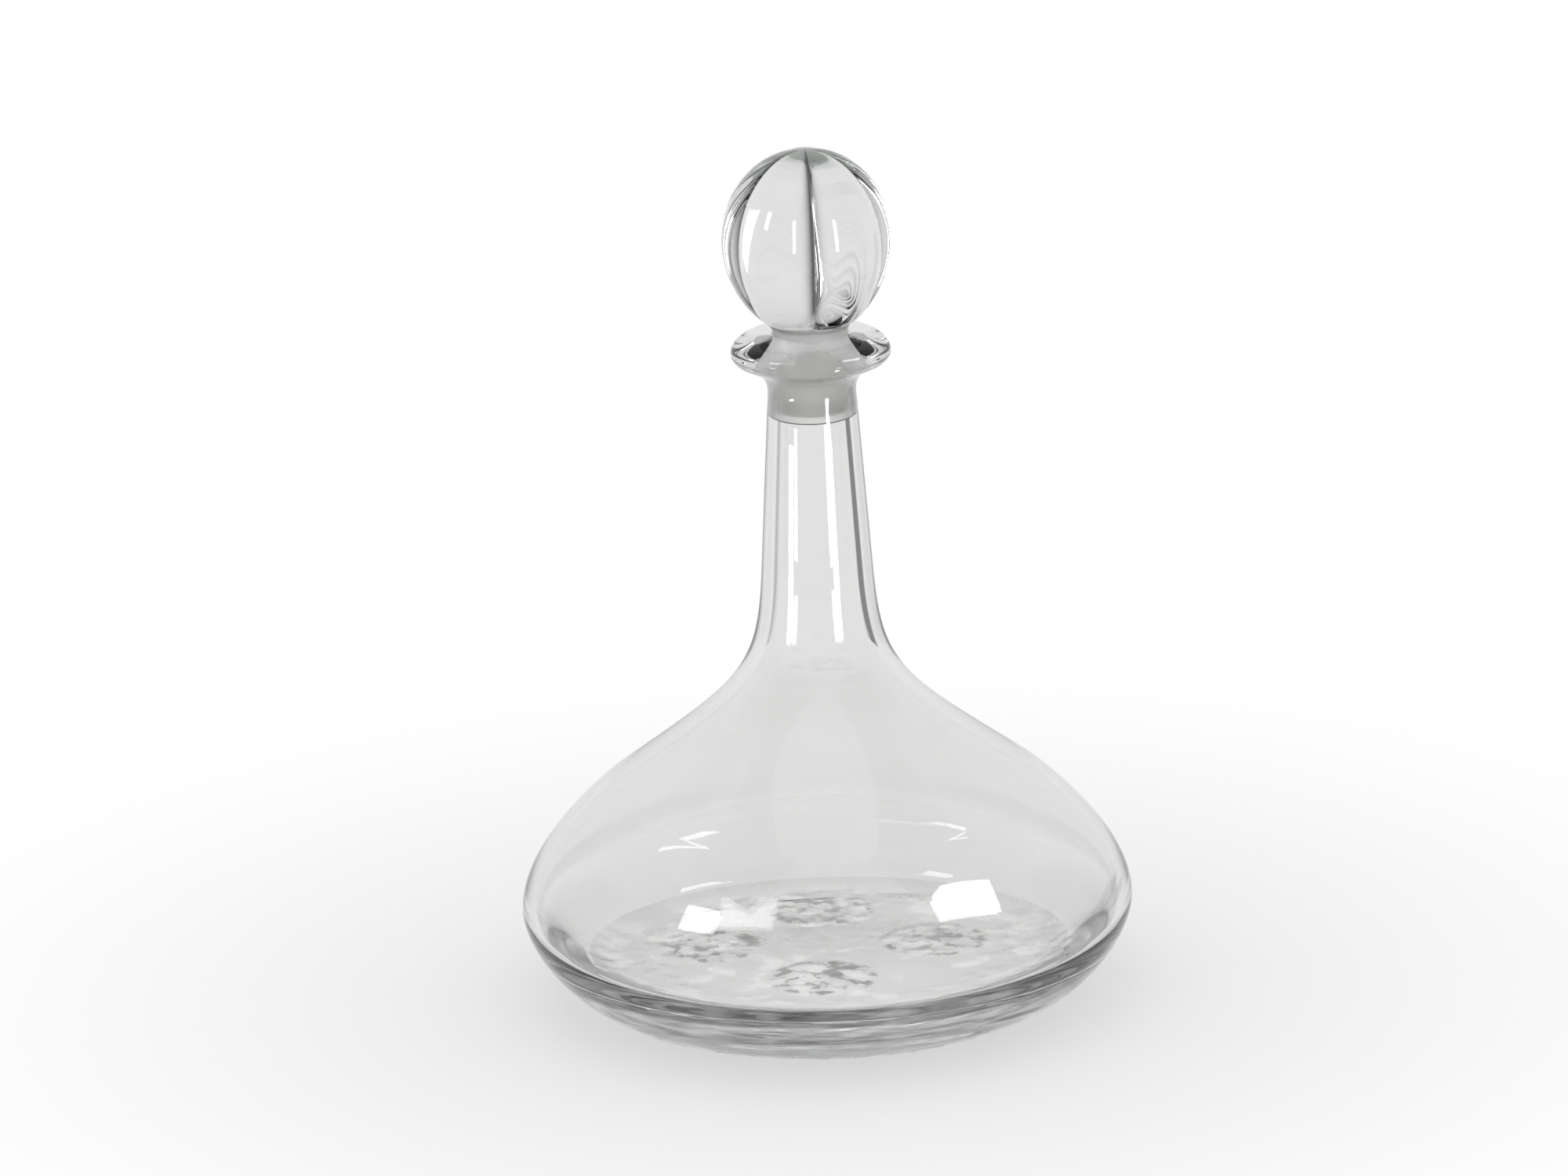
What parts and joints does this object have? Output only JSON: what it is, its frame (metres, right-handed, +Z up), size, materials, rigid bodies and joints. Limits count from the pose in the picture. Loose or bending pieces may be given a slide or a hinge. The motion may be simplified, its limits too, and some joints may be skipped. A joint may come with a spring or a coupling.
{
  "type": "wine decanter",
  "caption": "Clear glass wine decanter with a broad low bowl, long flared neck and rolled lip, closed by a lobed ground-glass ball stopper that lifts out.",
  "frame": {"origin": "on the axis of the vessel, at the level of the table it stands on", "axes": "+Z up along the axis of the neck; -Y is the side that faces the viewer in the picture"},
  "size_m": [0.195, 0.195, 0.277],
  "materials": {
    "vessel_glass": "clear polished glass with a faint grey-green cast in the thick base; ground matt inside the top of the neck",
    "stopper_glass": "clear polished solid glass ball; ground matt plug and throat"
  },
  "bodies": {
    "vessel": {"vessel": "vessel_glass"},
    "stopper": {"stopper": "stopper_glass"}
  },
  "joints": [
    {"name": "stopper_lift", "type": "slide", "parent": "vessel", "child": "stopper", "axis": [0, 0, 1], "range_m": [0, 0.08]}
  ]
}
